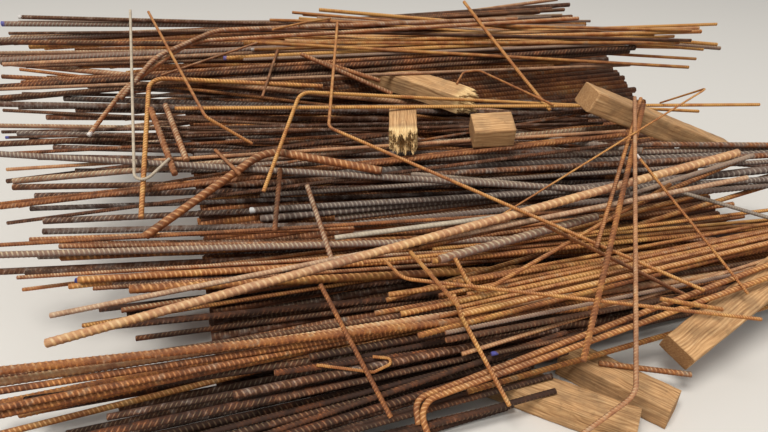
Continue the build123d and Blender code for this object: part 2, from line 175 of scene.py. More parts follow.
# Makes one object from arrays: points, the corners of all faces in one flat list, how many corners
# each face has, and the named values of the points and of the faces
def makePiece(name, points, corners, sizes, pointValues, faceValues):
    mesh = bpy.data.meshes.new(name)
    mesh.vertices.add(len(points))
    mesh.vertices.foreach_set("co", np.asarray(points, np.float32).ravel())
    mesh.loops.add(len(corners))
    mesh.loops.foreach_set("vertex_index", np.asarray(corners, np.int32))
    mesh.polygons.add(len(sizes))
    starts = np.concatenate([[0], np.cumsum(sizes)[:-1]])
    mesh.polygons.foreach_set("loop_start", starts.astype(np.int32))
    mesh.polygons.foreach_set("loop_total", np.asarray(sizes, np.int32))
    mesh.update(calc_edges=True)
    mesh.validate()
    mesh.shade_smooth()
    for domain, values in (("POINT", pointValues), ("FACE", faceValues)):
        for key, value in values.items():
            kind = "FLOAT_VECTOR" if np.ndim(value) == 2 else "FLOAT"
            made = mesh.attributes.new(key, kind, domain)
            made.data.foreach_set(
                "vector" if kind == "FLOAT_VECTOR" else "value",
                np.asarray(value, np.float32).ravel())
    piece = bpy.data.objects.new(name, mesh)
    bpy.context.scene.collection.objects.link(piece)
    return piece


# A closed tube's faces from a grid of rows x columns points, with one more point at either end
def tubeFaces(rows, columns):
    grid = np.arange(rows * columns).reshape(rows, columns)
    turned = np.roll(grid, -1, axis=1)
    sides = np.stack([grid[:-1], grid[1:], turned[1:], turned[:-1]], axis=-1).reshape(-1, 4)
    first, last = rows * columns, rows * columns + 1
    startCap = np.stack([grid[0], turned[0], np.full(columns, first)], axis=-1)
    endCap = np.stack([turned[-1], grid[-1], np.full(columns, last)], axis=-1)
    return sides, np.vstack([startCap, endCap])


# Gives every group of linked things, such as the corners of one solid, its lowest member's number
def spreadLabels(label, links):
    while True:
        spread = label.copy()
        for end in range(links.shape[1]):
            np.minimum.at(spread, links[:, end], label[links].min(axis=1))
        spread = spread[spread]
        if np.array_equal(spread, label):
            return label
        label = spread


# How a CAD solid is read. Lengths are in metres, and near is a share of the bar's radius.
reading = dict(
    grid=5e-6,  # points closer than this are one
    corners=10,  # of a bar's end face
    flat=0.9995,  # cosine of the angle between two triangles of one flat face
    even=2e-5,  # how far an end face's corners may differ in their distance from its middle
    near=0.3,  # corners that share one point of the centre line lie this close
    turning=25,  # how much a turn counts against a step when the points are joined
)


# The separate solids of a CAD node, as (points, triangles) of each, with doubled points joined
def solidsOf(node):
    mesh = frame["nodes"][node].data
    mesh.calc_loop_triangles()
    points = np.empty(len(mesh.vertices) * 3)
    mesh.vertices.foreach_get("co", points)
    triangles = np.empty(len(mesh.loop_triangles) * 3, np.int32)
    mesh.loop_triangles.foreach_get("vertices", triangles)
    keys = np.round(points.reshape(-1, 3) / reading["grid"]).astype(np.int64)
    keys, joined = np.unique(keys, axis=0, return_inverse=True)
    points = keys * reading["grid"]
    triangles = joined.ravel()[triangles].reshape(-1, 3)
    label = spreadLabels(np.arange(len(points)), triangles)
    solids = []
    for value in np.unique(label):
        inside = label == value
        newIndex = np.cumsum(inside) - 1
        solids.append((points[inside], newIndex[triangles[inside[triangles[:, 0]]]]))
    return solids


# A straight bar's two ends and radius: its corners lie round either end of its longest direction
def straightLine(points):
    middle = points.mean(axis=0)
    along = np.linalg.svd(points - middle, full_matrices=False)[2][0]
    along = along * (1 if along[0] > 0 else -1)
    ahead = (points - middle) @ along > 0
    ends = np.array([points[~ahead].mean(axis=0), points[ahead].mean(axis=0)])
    radius = np.linalg.norm(points[ahead] - ends[1], axis=1).mean()
    return ends, radius, np.array([0.0, 0.0, 1.0])


# A bent bar's centre line: each corner of its ten-sided tube, less the radius along the outward
# direction there, is a point of it. The points are joined into a chain that turns as little as it
# can, from one end face to the other. An end face is flat, with ten corners on a circle.
def bentLine(points, triangles):
    corner = points[triangles]
    face = np.cross(corner[:, 1] - corner[:, 0], corner[:, 2] - corner[:, 0])
    face /= np.maximum(np.linalg.norm(face, axis=1, keepdims=True), tiny)
    edges = np.sort(np.vstack([triangles[:, [0, 1]], triangles[:, [1, 2]], triangles[:, [2, 0]]]))
    order = np.lexsort((edges[:, 1], edges[:, 0]))
    pairs = np.tile(np.arange(len(triangles)), 3)[order].reshape(-1, 2)
    pairs = pairs[(face[pairs[:, 0]] * face[pairs[:, 1]]).sum(axis=1) > reading["flat"]]
    group = spreadLabels(np.arange(len(triangles)), pairs)
    caps = []
    for value in np.unique(group):
        members = np.unique(triangles[group == value])
        centre = points[members].mean(axis=0)
        reach = np.linalg.norm(points[members] - centre, axis=1)
        if len(members) == reading["corners"] and np.ptp(reach) < reading["even"]:
            caps.append((centre, reach.mean(), face[group == value][0], value))
    (start, radius, outward, firstCap), (finish, _, _, lastCap) = caps
    side = ~np.isin(group, [firstCap, lastCap])
    normal = np.zeros_like(points)
    for index in range(3):
        here, after, before = (corner[:, (index + k) % 3] for k in range(3))
        one, two = after - here, before - here
        angle = np.arccos(np.clip((one * two).sum(axis=1) / np.maximum(
            np.linalg.norm(one, axis=1) * np.linalg.norm(two, axis=1), tiny), -1, 1))
        np.add.at(normal, triangles[side][:, index], (face * angle[:, None])[side])
    normal /= np.maximum(np.linalg.norm(normal, axis=1, keepdims=True), tiny)
    cloud = points - normal * radius
    close = reading["near"] * radius
    chain, heading = [start], -outward
    left = cloud[np.linalg.norm(cloud - start, axis=1) > close]
    while len(left):
        step = left - chain[-1]
        far = np.linalg.norm(step, axis=1)
        straight = (step @ heading) / np.maximum(far, tiny)
        best = np.argmin(far * (1 + reading["turning"] * (1 - straight)))
        near = np.linalg.norm(left - left[best], axis=1) < close
        following = left[near].mean(axis=0)
        heading = following - chain[-1]
        heading /= np.linalg.norm(heading)
        chain.append(following)
        left = left[~near]
    chain = np.array(chain)
    if np.linalg.norm(chain[-1] - finish) > close:
        chain = np.vstack([chain, finish])
    flat = np.linalg.svd(chain - chain.mean(axis=0), full_matrices=False)[2][2]
    return chain, radius, flat * (1 if flat[2] > 0 else -1)


# A reinforcing bar. Heights and lengths are shares of its diameter, stations are shares of a pitch,
# and rib heights run from 0 at the core to 1 at the crest.
barShape = dict(
    core=0.472, crest=0.518, longRib=0.508, slant=0.30, chamfer=0.05,
    chamferHeight=0.3,
    tipSize=0.9,  # the end's size as a share of the core's
    endRoom=0.4,  # pitches kept free of ribs at the ends, both together
    margin=0.08,  # pitches at either end in which no station lies
    plainHeight=0.4,  # of a bar whose ribs are only relief in the finish
    plainColumns=10,
    aim=0.6,  # share of the radius over which the line's direction is taken
)
ribSorts = (
    dict(least=20, stations=(0.0, 0.13, 0.31, 0.45), heights=(0.0, 1.0, 1.0, 0.0), columns=10),
    dict(least=16, stations=(0.0, 0.2, 0.42), heights=(0.0, 1.0, 0.0), columns=8),
    dict(least=0, stations=(0.0, 0.3), heights=(0.0, 1.0), columns=6),
)
ribPitch = {6: 0.0050, 8: 0.0056, 10: 0.0067, 12: 0.0080, 16: 0.0111, 20: 0.0134, 25: 0.0178}
lookKeys = ("tone", "grey", "dust", "paint", "chalk")


# The values that the steel finish reads at each point: the rib's phase, how far round it swells,
# the distance from the tip, the bar's look, and drawn, which is 1 where ribs are only relief
def steelValues(phase, crescent, tip, look, drawn):
    total = len(phase)
    return dict(phase=phase, crescent=crescent, tip=tip, drawn=np.full(total, drawn),
                **{key: np.full(total, look[key]) for key in lookKeys})


# Where a bar's rings of points stand along it, how high the ribs are there, and where the first
# rib starts. Ribs repeat at every pitch, and a bar with ribs only in its finish has few rings.
def ribStations(length, pitch, width, sort, ribs, corners):
    if ribs:
        count = int((length - barShape["endRoom"] * pitch) // pitch)
        offset = (length - count * pitch) / 2
        station = (np.arange(count)[:, None] * pitch + offset
                   + np.array(sort["stations"])[None] * pitch).ravel()
        height = np.tile(sort["heights"], count)
        margin = barShape["margin"] * pitch
        keep = (station > margin) & (station < length - margin)
        station, height = station[keep], height[keep]
    else:
        offset = 0.0
        station = corners if len(corners) else np.array([length / 2])
        height = np.full(len(station), barShape["plainHeight"])
    chamfer, low = barShape["chamfer"] * width, barShape["chamferHeight"]
    station = np.concatenate([[0, chamfer], station, [length - chamfer, length]])
    height = np.concatenate([[0, low], height, [low, 0]])
    order = np.argsort(station, kind="stable")
    return station[order], height[order], offset


# One ribbed bar along a centre line. Point (s, t) lies at the line's point s + slant * cos t, plus
# radius(s, t) * (cos t * across + sin t * up). The radius is the core's, with slanted crests that
# swell as the square root of |sin t| once in every pitch, and a long rib at cos t = 1 and -1.
def ribbedBar(line, radius, up, look, ribs, roll):
    nominal = min(ribPitch, key=lambda size: abs(size - 2000 * radius))  # mm
    pitch, width = ribPitch[nominal], 2 * radius
    run = np.concatenate([[0], np.cumsum(np.linalg.norm(np.diff(line, axis=0), axis=1))])
    length = run[-1]
    sort = next(row for row in ribSorts if nominal >= row["least"])
    columns = sort["columns"] if ribs else barShape["plainColumns"]
    station, height, offset = ribStations(length, pitch, width, sort, ribs, run[1:-1])
    angle = np.arange(columns) * 2 * math.pi / columns
    slant = barShape["slant"] * width
    lean = slant if ribs else 0.0
    fade = np.clip(np.minimum(station, length - station) / max(2 * lean, tiny), 0, 1)
    place = station[:, None] + lean * fade[:, None] * np.cos(angle + roll)[None]
    place = np.clip(place, 0, length)

    def lineAt(spot):
        return np.stack([np.interp(spot, run, line[:, k]) for k in range(3)], axis=-1)

    aim = barShape["aim"] * radius
    ahead = lineAt(np.minimum(place + aim, length)) - lineAt(np.maximum(place - aim, 0))
    ahead /= np.linalg.norm(ahead, axis=-1, keepdims=True)
    across = np.cross(ahead, up)
    across /= np.linalg.norm(across, axis=-1, keepdims=True)
    upward = np.cross(across, ahead)
    swell = np.sqrt(np.abs(np.sin(angle)))
    size = barShape["core"] + (barShape["crest"] - barShape["core"]) * height[:, None] * swell[None]
    size[:, np.isclose(np.abs(np.cos(angle)), 1)] = barShape["longRib"]
    size[[0, -1]] = barShape["core"] * barShape["tipSize"]
    turn = angle + roll
    points = lineAt(place) + width * size[..., None] * (
        np.cos(turn)[None, :, None] * across + np.sin(turn)[None, :, None] * upward)
    points = np.vstack([points.reshape(-1, 3), line[0], line[-1]])
    sides, caps = tubeFaces(len(station), columns)
    slope = 0.0 if ribs else slant
    phase = (station[:, None] - slope * np.cos(angle)[None]) / pitch - offset / pitch
    phase = np.concatenate([phase.ravel(), [phase[0, 0], phase[-1, 0]]])
    crescent = np.concatenate([np.tile(np.abs(np.sin(angle)), len(station)), [0, 0]])
    tip = np.concatenate([np.repeat(station, columns), [0, length]])
    return points, sides, caps, steelValues(phase, crescent, tip, look, 0.0 if ribs else 1.0)


# How each node's bars look, as ranges: from dark rust 0 to yellow rust 1, how much grey scale
# shows, how much pale dust lies on top, and whether the ribs are shapes or relief in the finish.
# The toe's low tone is partly painted shade, and the crest base's raised tone and dust are partly
# painted light.
barLooks = {
    # painted shade: the toe's bars are made very dark, as they lie in shade at the heap's foot
    "bars_toe": dict(tone=(0.0, 0.06), grey=(0.0, 0.2), dust=(0.0, 0.06), ribs=True),
    "bars_front_base": dict(tone=(0.0, 0.2), grey=(0.0, 0.3), dust=(0.0, 0.15), ribs=False),
    "bars_low_left": dict(tone=(0.0, 0.3), grey=(0.0, 0.35), dust=(0.0, 0.12), ribs=True),
    "bars_left_fan": dict(tone=(0.4, 0.75), grey=(0.0, 0.3), dust=(0.1, 0.5), ribs=True),
    "bars_left_middle": dict(tone=(0.3, 0.74), grey=(0.0, 0.4), dust=(0.2, 0.9), ribs=True),
    "bars_upper_base": dict(tone=(0.05, 0.4), grey=(0.2, 0.7), dust=(0.0, 0.3), ribs=False),
    "bars_right_fan_low": dict(tone=(0.5, 0.95), grey=(0.0, 0.35), dust=(0.1, 0.6), ribs=True),
    "bars_right_fan_high": dict(tone=(0.6, 1.05), grey=(0.0, 0.35), dust=(0.2, 0.9), ribs=True),
    "bars_middle_band": dict(tone=(0.1, 0.6), grey=(0.3, 1.5), dust=(0.1, 0.6), ribs=True),
    "bars_upper_left": dict(tone=(0.05, 0.55), grey=(0.0, 0.55), dust=(0.0, 0.5), ribs=False),
    # painted light: the crest base's tone and dust are raised, as it lies in shade under the crest
    "bars_crest_base": dict(tone=(0.4, 0.85), grey=(0.0, 0.3), dust=(0.2, 0.6), ribs=False),
    "bars_crest": dict(tone=(0.0, 0.4), grey=(0.0, 0.4), dust=(0.0, 0.4), ribs=False),
    "bars_top_right": dict(tone=(0.6, 1.1), grey=(0.0, 0.3), dust=(0.3, 0.9), ribs=False),
    "bars_back_slope": dict(tone=(0.2, 0.7), grey=(0.0, 0.5), dust=(0.1, 0.5), ribs=False),
    "bars_back_foot": dict(tone=(0.2, 0.5), grey=(0.1, 0.5), dust=(0.1, 0.4), ribs=False),
    "bars_single_low": dict(tone=(0.4, 0.7), grey=(0.1, 0.3), dust=(0.3, 0.6), ribs=True),
    "bars_single_long": dict(tone=(0.5, 0.7), grey=(0.0, 0.1), dust=(0.7, 0.9), ribs=True),
    "bars_single_upper": dict(tone=(0.3, 0.6), grey=(0.0, 0.3), dust=(0.3, 0.6), ribs=True),
    "bars_single_top": dict(tone=(0.5, 0.75), grey=(0.0, 0.1), dust=(0.2, 0.5), ribs=True),
    "bent_bar_thick_hook": dict(tone=(0.5, 0.5), grey=(0.15, 0.15), dust=(0.5, 0.5), ribs=True),
    "bent_bar_white_hook": dict(tone=(0.4, 0.4), grey=(1.4, 1.4), dust=(0.4, 0.4), ribs=True),
    "bent_bar_right_hook": dict(tone=(0.55, 0.55), grey=(0.25, 0.25), dust=(0.9, 0.9), ribs=True),
    "bent_bar_long_corner": dict(tone=(0.95, 0.95), grey=(0.0, 0.0), dust=(0.4, 0.4), ribs=True),
    "bent_bar_tall_corner": dict(tone=(0.75, 0.75), grey=(0.0, 0.0), dust=(0.5, 0.5), ribs=True),
    "bent_bar_outer_arc": dict(tone=(0.45, 0.45), grey=(0.4, 0.4), dust=(1.0, 1.0), ribs=True),
    "bent_bar_inner_arc": dict(tone=(0.4, 0.4), grey=(0.5, 0.5), dust=(0.9, 0.9), ribs=True),
}
bentLook = dict(tone=(0.6, 0.85), grey=(0.0, 0.15), dust=(0.3, 0.6), ribs=True)
chalky = {"bent_bar_white_hook": 0.5, "bent_bar_right_hook": 0.08}
paintedShare = 0.05  # of the bars have a marked tip, in white (1) or blue (2)
sameBar = 0.004  # m between a bar's middle and the place given for it

# Bars of some runs that came from other lots: bare grey, pale with dust, and dark. Each sort takes
# its share of a draw from 0 to 1, starting above the given value.
mixedRuns = ("bars_left_middle", "bars_left_fan", "bars_right_fan_low", "bars_right_fan_high",
             "bars_upper_left", "bars_crest", "bars_top_right", "bars_back_slope")
oddBars = [
    dict(above=0.0, share=0.10, grey=1.3, dust=0.6),
    dict(above=0.10, share=0.12, dust=1.0, chalk=0.12),
    dict(above=0.22, share=0.10, tone=0.12, dust=0.2),
]

# Single bars that differ from their neighbours, each found by the place of its middle
mainBars = [
    dict(middle=(-0.689, -0.379, 0.430), tone=0.3, grey=1.5, dust=0.4),
    dict(middle=(-0.411, -0.747, 0.355), tone=0.74, grey=0.0, dust=1.0, chalk=0.17),
    dict(middle=(-0.404, -0.735, 0.339), tone=0.5, grey=0.3, dust=1.0, chalk=0.25),
    dict(middle=(-0.125, -0.783, 0.332), tone=0.5, grey=0.7, dust=0.8),
    dict(middle=(-0.347, -0.600, 0.301), tone=0.4, grey=1.4, dust=0.6, chalk=0.5),
    dict(middle=(0.012, -0.569, 0.373), tone=0.3, grey=1.4, dust=0.5, chalk=0.15),
    dict(middle=(0.154, -0.408, 0.453), tone=0.3, grey=1.5, dust=0.4, chalk=0.1),
    dict(middle=(0.487, -0.716, 0.407), tone=0.4, grey=1.3, dust=0.7, chalk=0.1),
    dict(middle=(0.592, -0.843, 0.335), tone=0.3, grey=1.3, dust=0.3, chalk=0.15, paint=2.0),
    dict(middle=(-1.045, -0.082, 0.491), tone=0.4, grey=0.5, dust=0.9),
    dict(middle=(-1.084, -0.156, 0.495), tone=0.4, grey=0.3, dust=0.5),
    dict(middle=(-0.662, -0.536, 0.331), tone=0.35, grey=0.6, dust=0.8),
    dict(middle=(-0.042, -0.336, 0.561), tone=1.0, grey=0.0, dust=0.5),
    dict(middle=(0.112, -0.866, 0.417), tone=0.6, grey=0.0, dust=0.25),
]


# A bar's own look, drawn from its node's ranges, and whether its ribs are shapes. Few tips are
# painted, some runs have odd bars, and the main bars of the photo's view have a look of their own.
def lookOf(node, middle):
    settings = barLooks.get(node, bentLook)
    look = {key: rng.uniform(*settings[key]) for key in ("tone", "grey", "dust")}
    look["paint"] = rng.choice([1.0, 1.0, 2.0]) if rng.random() < paintedShare else 0.0
    look["chalk"] = chalky.get(node, 0.0)
    draw = rng.random()
    for sort in oddBars:
        if node in mixedRuns and sort["above"] <= draw < sort["above"] + sort["share"]:
            look.update({key: value for key, value in sort.items() if key in lookKeys})
    for special in mainBars:
        if np.linalg.norm(np.array(special["middle"]) - middle) < sameBar:
            look.update({key: value for key, value in special.items() if key != "middle"})
    return look, settings["ribs"]


# Joins bars into one piece, with the caps marked as cut
def joinBars(name, bars):
    points, corners, sizes, values, cut, offset = [], [], [], {}, [], 0
    for barPoints, sides, caps, barValues in bars:
        points.append(barPoints)
        corners += [(sides + offset).ravel(), (caps + offset).ravel()]
        sizes += [np.full(len(sides), 4), np.full(len(caps), 3)]
        cut += [np.zeros(len(sides)), np.ones(len(caps))]
        for key, value in barValues.items():
            values.setdefault(key, []).append(value)
        offset += len(barPoints)
    return makePiece(
        name, np.vstack(points), np.concatenate(corners), np.concatenate(sizes),
        {key: np.concatenate(value) for key, value in values.items()},
        dict(cut=np.concatenate(cut)))


# Colours of the steel as they look, and the fineness of its three noises
steelColours = dict(
    rust=[(0.0, colour(54, 36, 27)), (0.25, colour(98, 58, 36)), (0.5, colour(152, 84, 43)),
          (0.75, colour(198, 124, 58)), (1.0, colour(230, 168, 86))],
    scale=[(0.3, colour(88, 81, 75)), (0.7, colour(160, 153, 144))],
    hollow=colour(46, 30, 22), dustyHollow=colour(138, 78, 42), crest=colour(226, 190, 142),
    dust=colour(206, 178, 134), lime=colour(214, 200, 172),
    darkCut=colour(120, 72, 46), paleCut=colour(186, 130, 86),
    white=colour(222, 218, 210), blue=colour(74, 80, 150),
)
steelSettings = dict(
    broad=7.0, patch=38.0, grain=420.0,
    ribHeight=0.0014, grainHeight=0.0006,  # m
    painted=0.012,  # m of a marked tip
)


# Rusted ribbed steel. The colour runs from dark to yellow rust along each bar's tone and blotches
# of noise, under patches of grey scale, with dust on what faces up and rubbed crests on the ribs.
# The whole colour is multiplied by a tint: a colour cast for the grey bars, painted shade for the
# hidden middle's steel.
def barFinish(name, tintAndShade=(1.0, 1.0, 1.0), greyer=0.0):
    made = Finish(name, metallic=0.0, roughness=0.85, specular=0.25)
    seen, chosen = steelColours, steelSettings
    phase = made.math("FRACT", made.attribute("phase"))
    rise = made.ranged(phase, 0.0, 0.13)
    fall = made.ranged(phase, 0.46, 0.32)
    rib = made.times(rise, fall, made.attribute("crescent"))
    broad = made.noise(chosen["broad"], 2.0, 0.5)
    patch = made.noise(chosen["patch"], 4.0, 0.65)
    grain = made.noise(chosen["grain"], 3.0, 0.7)

    share = made.attribute("tone")
    for cloud, strength in ((broad, 0.2), (patch, 0.26), (grain, 0.22)):
        share = made.math("ADD", share, made.ranged(cloud, 0.3, 0.7, -strength, strength))
    rust = made.ramp(share, seen["rust"])
    scale = made.ramp(grain, seen["scale"])
    showing = made.math("ADD", made.attribute("grey"), made.ranged(patch, 0.3, 0.7, -0.4, 0.4))
    steel = made.mix(made.ranged(showing, 0.35 - greyer, 0.75 - greyer, 0.0, 0.9), rust, scale)
    between = made.mix(made.attribute("dust"), seen["hollow"], seen["dustyHollow"])
    valley = made.mix(made.ranged(rib, 0.0, 0.9, 0.6, 0.0), steel, between)
    crested = made.mix(made.ranged(rib, 0.55, 1.0, 0.0, 0.14), valley, seen["crest"])

    up = made.ranged(made.facingUp(), 0.05, 0.9)
    lying = made.times(up, made.attribute("dust"), made.ranged(patch, 0.3, 0.62, 0.3, 1.0),
                       made.ranged(rib, 0.0, 0.8, 0.18, 0.95))
    dusty = made.mix(lying, crested, seen["dust"])
    chalk = made.times(made.attribute("chalk"), made.ranged(patch, 0.3, 0.7, 0.55, 1.3))
    limed = made.mix(chalk, dusty, seen["lime"])
    cutFace = made.mix(made.ranged(patch, 0.35, 0.65), seen["darkCut"], seen["paleCut"])
    painted = made.mix(made.attribute("cut"), limed, cutFace)

    frayed = made.math("ADD", made.attribute("tip"), made.ranged(grain, 0.3, 0.7, -0.006, 0.006))
    near = made.math("LESS_THAN", frayed, chosen["painted"])
    for kind, cover, paint in ((1.0, 0.7, "white"), (2.0, 0.8, "blue")):
        marked = made.math("COMPARE", made.attribute("paint"), kind, 0.1)
        painted = made.mix(made.times(near, marked, cover), painted, seen[paint])
    # the tint multiplies the colour; for the hidden middle's steel it darkens it as painted shade
    toned = made.mix(1.0, painted, (*tintAndShade, 1.0), "MULTIPLY")
    normal = made.bump(made.times(rib, made.attribute("drawn")), chosen["ribHeight"])
    normal = made.bump(grain, chosen["grainHeight"], 0.5, normal)
    return made.finish(toned, made.ranged(grain, 0.3, 0.7, 0.7, 0.95), normal)


finishes = {
    "rusted_bar": barFinish("rusted_bar"),
    "grey_bar": barFinish("grey_bar", (0.96, 0.98, 1.0), 0.1),
    "pale_bar": barFinish("pale_bar"),
    # painted shade: the hidden middle's bars are darkened a little, as if deep in the heap's shade
    "hidden_steel": barFinish("hidden_steel", (0.94, 0.92, 0.9)),
}
slotOf = {row["node"]: row["material_slot"] for row in frame["record"]["subparts"]}


# All bars of a node in one piece, each along its own solid and turned by a random roll
def makeBars(node):
    bars = []
    for points, triangles in solidsOf(node):
        if len(points) == 2 * reading["corners"]:
            line, radius, up = straightLine(points)
        else:
            line, radius, up = bentLine(points, triangles)
        look, ribs = lookOf(node, (line[0] + line[-1]) / 2)
        bars.append(ribbedBar(line, radius, up, look, ribs, rng.uniform(0, math.pi)))
    piece = joinBars("ribbed_" + node, bars)
    piece.data.materials.append(finishes[slotOf[node]])
    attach(piece, "root")
    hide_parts(node)
    return len(piece.data.polygons)


steelNodes = [node for node in frame["nodes"] if node.startswith(("bars", "bent", "link"))]
faceCount = sum(makeBars(node) for node in steelNodes)
print("bars made:", len(steelNodes), "pieces,", faceCount, "faces")

# The heap's hidden middle, in metres: plain bars in layers that follow the CAD block's outline
packedSettings = dict(
    width=0.026,
    layers=13,
    firstLayer=0.52,  # depth of the outermost centres, in bar widths
    layerStep=0.9,  # from layer to layer, in bar widths
    apart=0.8,  # least distance between two centres, in bar widths
    inset=(0.002, 0.05),  # how far a bar's end stays inside the block's
    tone=(0.1, 0.7),
    backPaintedLight=0.6,  # painted light: added to the tone for each metre towards the back, where the crest shades the heap
    grey=(0, 0.5),
    dust=0.2,
    columns=6,
)


# A plain bar along X: point (s, t) = start + s, plus radius * (cos t, sin t) in Y and Z
def plainBar(ends, radius, look, columns):
    angle = np.arange(columns) * 2 * math.pi / columns
    around = np.stack([0 * angle, -np.cos(angle), np.sin(angle)], axis=-1) * radius
    points = np.vstack([(ends[:, None] + around[None]).reshape(-1, 3), ends])
    sides, caps = tubeFaces(2, columns)
    crescent = np.concatenate([np.tile(np.abs(np.sin(angle)), 2), [0, 0]])
    farFromTip = np.ones(len(points))
    values = steelValues(points[:, 0] / ribPitch[20], crescent, farFromTip, look, 1.0)
    return points, sides, caps, values


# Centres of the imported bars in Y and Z. Each layer lies one step deeper inside every edge of the
# block's section than the last, and a centre that comes too near an earlier one is dropped.
def packedCentres(section, settings):
    edge = np.roll(section, -1, axis=0) - section
    reach = np.linalg.norm(edge, axis=1)
    edge = edge / reach[:, None]
    inward = np.column_stack([-edge[:, 1], edge[:, 0]])
    width = settings["width"]
    centres = []
    for layer in range(settings["layers"]):
        depth = width * (settings["firstLayer"] + layer * settings["layerStep"])
        for start, along, across, length in zip(section, edge, inward, reach):
            steps = np.arange(0.5 * (layer % 2) * width, length, width)
            spots = start + steps[:, None] * along + depth * across
            depths = ((spots[:, None] - section[None]) * inward[None]).sum(axis=2)
            centres.append(spots[depths.min(axis=1) > depth - 1e-6])
    centres = np.vstack(centres)
    apart = np.linalg.norm(centres[:, None] - centres[None], axis=2) + np.tri(len(centres)).T
    return centres[apart.min(axis=1) > settings["apart"] * width]


def makePacked(settings):
    points, _ = solidsOf("hidden_core")[0]
    left, right = points[:, 0].min(), points[:, 0].max()
    section = points[np.abs(points[:, 0] - left) < 1e-4][:, 1:]
    middle = section.mean(axis=0)
    section = section[np.argsort(np.arctan2(section[:, 1] - middle[1], section[:, 0] - middle[0]))]
    bars = []
    for y, z in packedCentres(section, settings):
        ends = np.array([[left + rng.uniform(*settings["inset"]), y, z],
                         [right - rng.uniform(*settings["inset"]), y, z]])
        # painted light: bars further back get a lighter tone, standing in for light on the shaded
        # back slope
        tone = rng.uniform(*settings["tone"]) + settings["backPaintedLight"] * max(y, 0)
        look = dict(tone=tone, grey=rng.uniform(*settings["grey"]), dust=settings["dust"],
                    paint=0.0, chalk=0.0)
        bars.append(plainBar(ends, settings["width"] / 2, look, settings["columns"]))
    piece = joinBars("packed_middle", bars)
    piece.data.materials.append(finishes["hidden_steel"])
    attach(piece, "root")
    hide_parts("hidden_core")
    return len(bars)


print("packed middle:", makePacked(packedSettings), "bars")

# Sawn timbers, in metres. Ripples are given as (share or height, fineness).
timberSettings = dict(
    width=0.090, depth=0.070, corner=0.0035,
    spacing=0.008,  # between rings along the timber
    columns=80, endRings=9,
    breakColumns=150, breakRings=30, teethRows=12,
    broken=("bearer_broken_end", "bearer_upper_left"),
    reach=0.060,  # how far a broken end's teeth reach
    teeth=(  # (place across the width, share of the reach)
        (-0.5, 0.0), (-0.34, 0.2), (-0.2, 0.75), (-0.06, 0.35),
        (0.08, 1.0), (0.22, 0.3), (0.36, 0.55), (0.5, 0.1)),
    sway=(0.007, 110), uneven=(0.45, 80), splinter=(0.42, 560), fibre=(0.2, 1500),
    leastTooth=0.05,  # share of the reach
    fresh=0.02,  # how far behind the teeth the new wood shows
    hollow=("bearer_broken_end",),  # its middle has rotted to a pit
    pit=0.035, pitHalf=(0.024, 0.019),
    wear=(0.045, 45), dents=(0.006, 30),
)


# Uneven rise and fall of two values: a sum of six sines of random direction and phase, -1 to 1
def ripple(one, two, fineness):
    total = 0 * one
    for share in (1.0, 1.7, 2.9):
        turn, first, second = rng.uniform(0, 2 * math.pi, 3)
        cosine, sine = math.cos(turn), math.sin(turn)
        total = total + np.sin(share * fineness * (one * cosine + two * sine) + first)
        total = total + np.sin(share * fineness * (one * sine - two * cosine) + second)
    return total / 6


# A timber's own directions, from the areas of its flat CAD faces: the widest look up and down, the
# next widest to the sides, and a broken end, which has more corners than a sawn one, lies forwards
def timberFrame(node):
    points, triangles = solidsOf(node)[0]
    corner = points[triangles]
    face = np.cross(corner[:, 1] - corner[:, 0], corner[:, 2] - corner[:, 0])
    area = np.linalg.norm(face, axis=1)
    face = face / area[:, None]
    alike = (face @ face.T > 0.999) @ area
    up = face[np.argmax(alike)]
    up = up * (1 if up[2] > 0 else -1)
    side = face[np.argmax(alike * (np.abs(face @ up) < 0.1))]
    along = np.cross(side, up)
    reach = points @ along
    if (reach > (reach.min() + reach.max()) / 2).sum() < len(points) / 2:
        along, side = -along, -side
        reach = -reach
    spread = points @ np.column_stack([side, up])
    middle = (spread.min(axis=0) + spread.max(axis=0)) / 2
    start = reach.min() * along + middle[0] * side + middle[1] * up
    return start, along, side, up, reach.max() - reach.min()


# Where the rings of a timber stand: their size as a share of the section, their place along it, and
# the share of the teeth's height that they rise. They close over both ends.
def timberRings(root, broken, settings):
    rings = settings["endRings"]
    lastRings = settings["breakRings"] if broken else rings
    teethRows = settings["teethRows"] if broken else 0
    body = np.linspace(0, root, int(root / settings["spacing"]) + 2)
    size = np.concatenate([np.linspace(0, 1, rings + 2)[1:-1], np.ones(len(body) + teethRows),
                           np.linspace(1, 0, lastRings + 2)[1:-1]])
    base = np.concatenate([np.zeros(rings), body, np.full(teethRows + lastRings, root)])
    share = np.concatenate([
        np.zeros(rings + len(body)), np.arange(1, teethRows + 1) / max(teethRows, 1),
        np.full(lastRings, 1.0 if broken else 0.0)])
    return size, base, share


# How far the torn end stands out at (y, z): the height of the teeth across the width, swayed and
# made uneven by ripples, less a pit where the middle has rotted
def tornHeight(y, z, hollow, settings):
    across, out = np.array(settings["teeth"]).T
    sway, fineness = settings["sway"]
    swayed = (y + sway * ripple(z, 0 * z, fineness)) / settings["width"]
    uneven, fineness = settings["uneven"]
    height = np.interp(swayed, across, out) * (0.72 + uneven * ripple(y, z, fineness))
    splinter, fineness = settings["splinter"]
    height = height + splinter * np.clip(ripple(y, 0.5 * z, fineness), -0.3, 1)
    fibre, fineness = settings["fibre"]
    height = height + fibre * ripple(y, z, fineness)
    height = np.clip(height, settings["leastTooth"], 1.0) * settings["reach"]
    if hollow:
        wide, deep = settings["pitHalf"]
        height = height - settings["pit"] * np.exp(-((y / wide) ** 2 + (z / deep) ** 2) ** 2)
    return height


